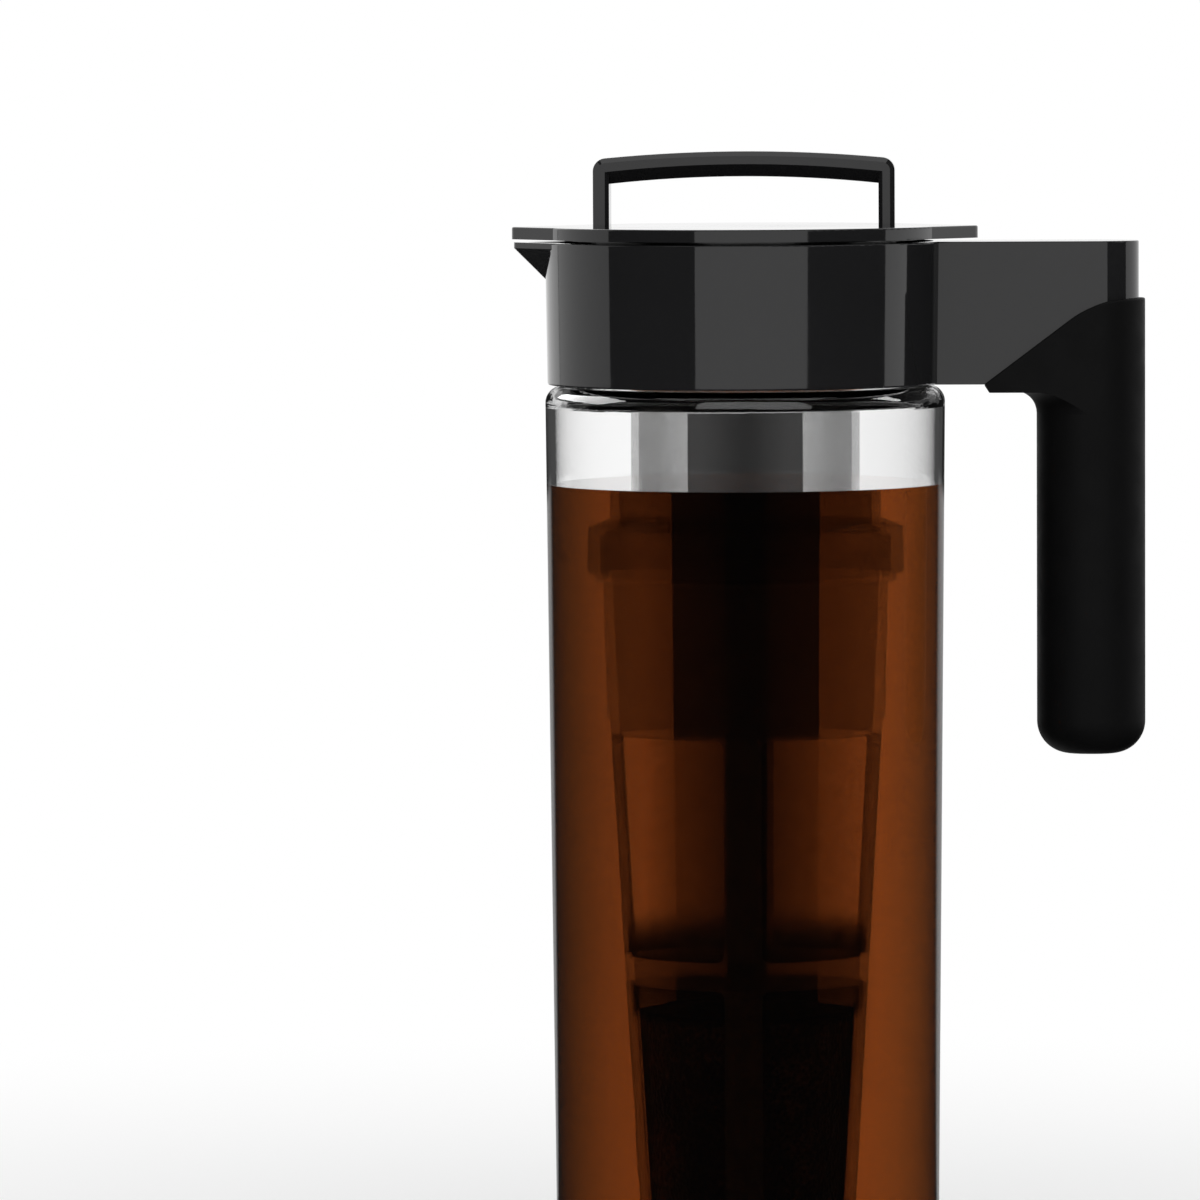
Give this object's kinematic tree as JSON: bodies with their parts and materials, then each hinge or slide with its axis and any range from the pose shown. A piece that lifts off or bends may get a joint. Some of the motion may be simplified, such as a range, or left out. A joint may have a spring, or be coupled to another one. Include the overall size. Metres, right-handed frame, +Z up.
{
  "type": "cold brew coffee maker",
  "caption": "Tall glass carafe with a spouted plastic collar and side handle, a lid with an arched grip, and a long brewing filter that hangs from the lid on a stem.",
  "frame": {"origin": "centre of the carafe's foot ring, on the plane it stands on", "axes": "+Z up along the carafe's axis; +X towards the handle; -X towards the spout"},
  "size_m": [0.1648, 0.1042, 0.3099],
  "materials": {
    "clear_glass": "clear polished",
    "gloss_black": "high gloss",
    "inner_plastic": "gloss",
    "soft_grip": "matt soft touch",
    "stem_plastic": "gloss",
    "filter_plastic": "satin",
    "filter_mesh": "fine woven mesh",
    "silicone": "satin",
    "screw_steel": "plated"
  },
  "bodies": {
    "carafe": {"glass_carafe": "clear_glass", "neck_seal": "silicone", "neck_retainer_front": "inner_plastic", "neck_retainer_rear": "inner_plastic", "collar_shell": "gloss_black", "collar_liner": "inner_plastic", "handle_core": "inner_plastic", "core_screws": "screw_steel", "handle_grip": "soft_grip"},
    "lid_ring": {"lid_seal": "silicone"},
    "lid": {"lid_cover": "gloss_black", "lid_handle": "gloss_black", "lid_plug": "inner_plastic", "stem_gasket": "silicone", "stem": "stem_plastic"},
    "filter_ring": {"filter_gasket": "silicone"},
    "filter": {"filter_frame": "filter_plastic", "mesh_upper": "filter_mesh", "mesh_lower": "filter_mesh", "mesh_floor": "filter_mesh"}
  },
  "joints": [
    {"name": "lid_lift", "type": "slide", "parent": "carafe", "child": "lid_ring", "axis": [0, 0, 1], "range_m": [0, 0.285]},
    {"name": "lid_turn", "type": "hinge", "parent": "lid_ring", "child": "lid", "pos_m": [0, 0, 0.2882], "axis": [0, 0, 1], "continuous": true},
    {"name": "filter_drop", "type": "slide", "parent": "lid", "child": "filter_ring", "axis": [0, 0, -1], "range_m": [0, 0.006]},
    {"name": "filter_turn", "type": "hinge", "parent": "filter_ring", "child": "filter", "pos_m": [0, 0, 0.2], "axis": [0, 0, -1], "range_deg": [0, 360]}
  ],
  "couplings": [
    {"joint": "filter_turn", "follows": "filter_drop", "rad_per_m": 1047.1}
  ]
}
